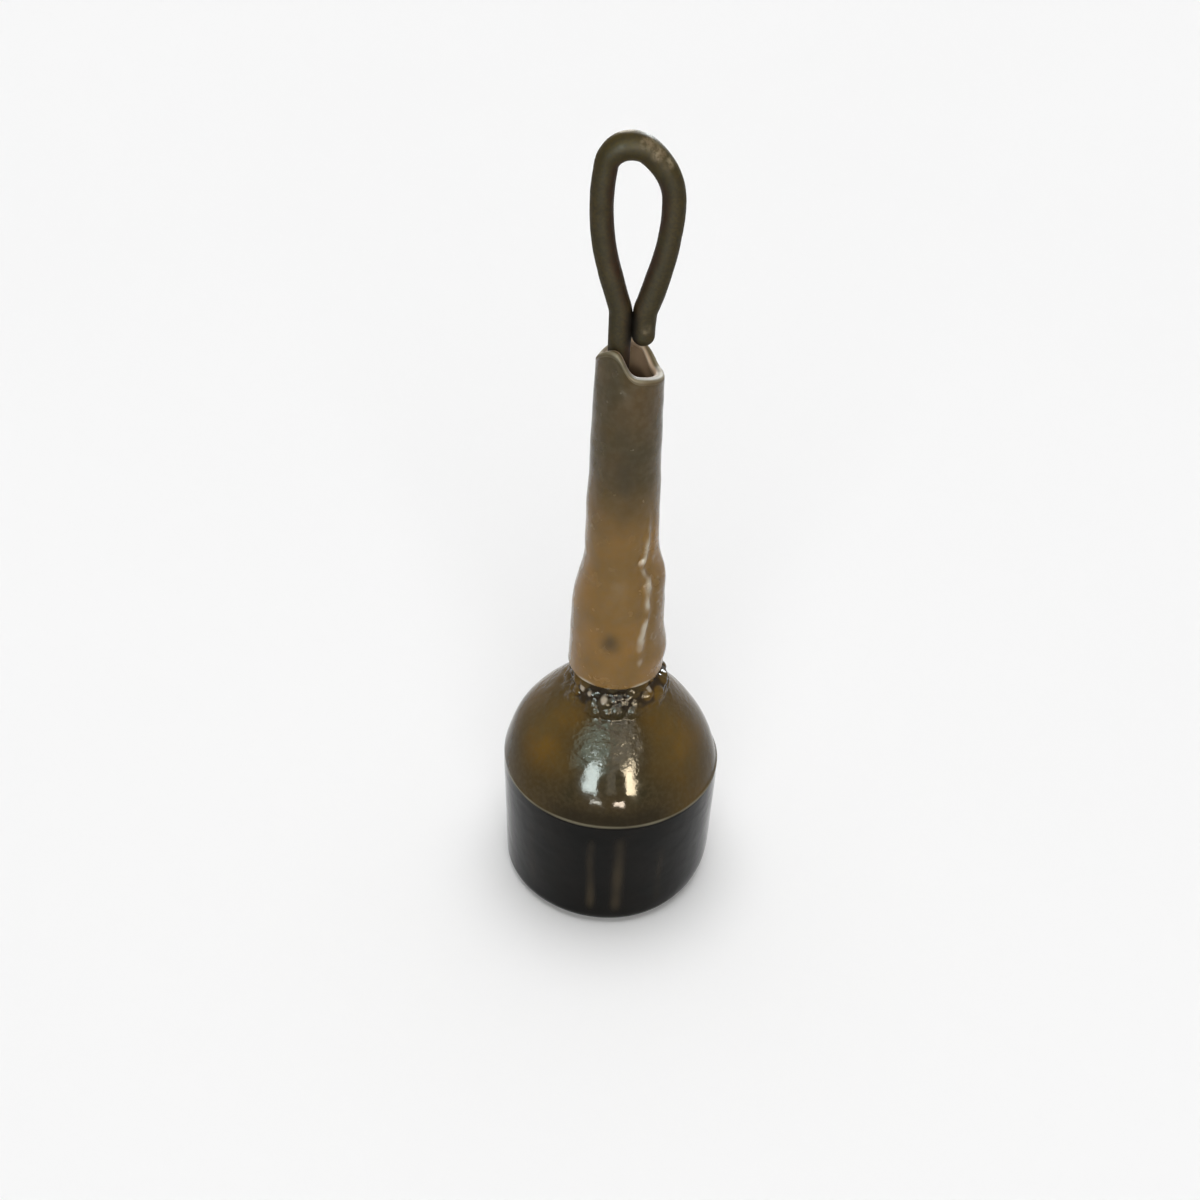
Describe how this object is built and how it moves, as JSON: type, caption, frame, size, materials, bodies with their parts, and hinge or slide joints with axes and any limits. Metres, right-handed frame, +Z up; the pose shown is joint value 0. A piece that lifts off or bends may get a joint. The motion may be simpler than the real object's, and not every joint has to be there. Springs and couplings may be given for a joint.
{
  "type": "fishing sinker",
  "caption": "Dipped fishing sinker: a round weight with a domed shoulder, a sliding see-through sleeve and an open drop-shaped wire eye.",
  "frame": {"origin": "middle of the flat base that the sinker stands on", "axes": "+Z up along the weight's axis towards the eye, +X from the stem towards the wire's free leg, so that the eye lies in the XZ plane"},
  "size_m": [0.0146, 0.0146, 0.0551],
  "materials": {
    "lead": "cast lead, matt, under the coating",
    "weight_dip": "thick glossy see-through brown dip",
    "wire": "drawn steel wire",
    "eye_dip": "thin satin olive brown dip",
    "sleeve": "soft smoky see-through tube"
  },
  "bodies": {
    "weight": {"lead_weight": "lead", "weight_coating": "weight_dip", "wire_eye": "wire", "eye_coating": "eye_dip"},
    "sleeve_tube": {"sleeve": "sleeve"}
  },
  "joints": [
    {"name": "sleeve_slide", "type": "slide", "parent": "weight", "child": "sleeve_tube", "axis": [0, 0, 1], "range_m": [0, 0.0031]}
  ]
}
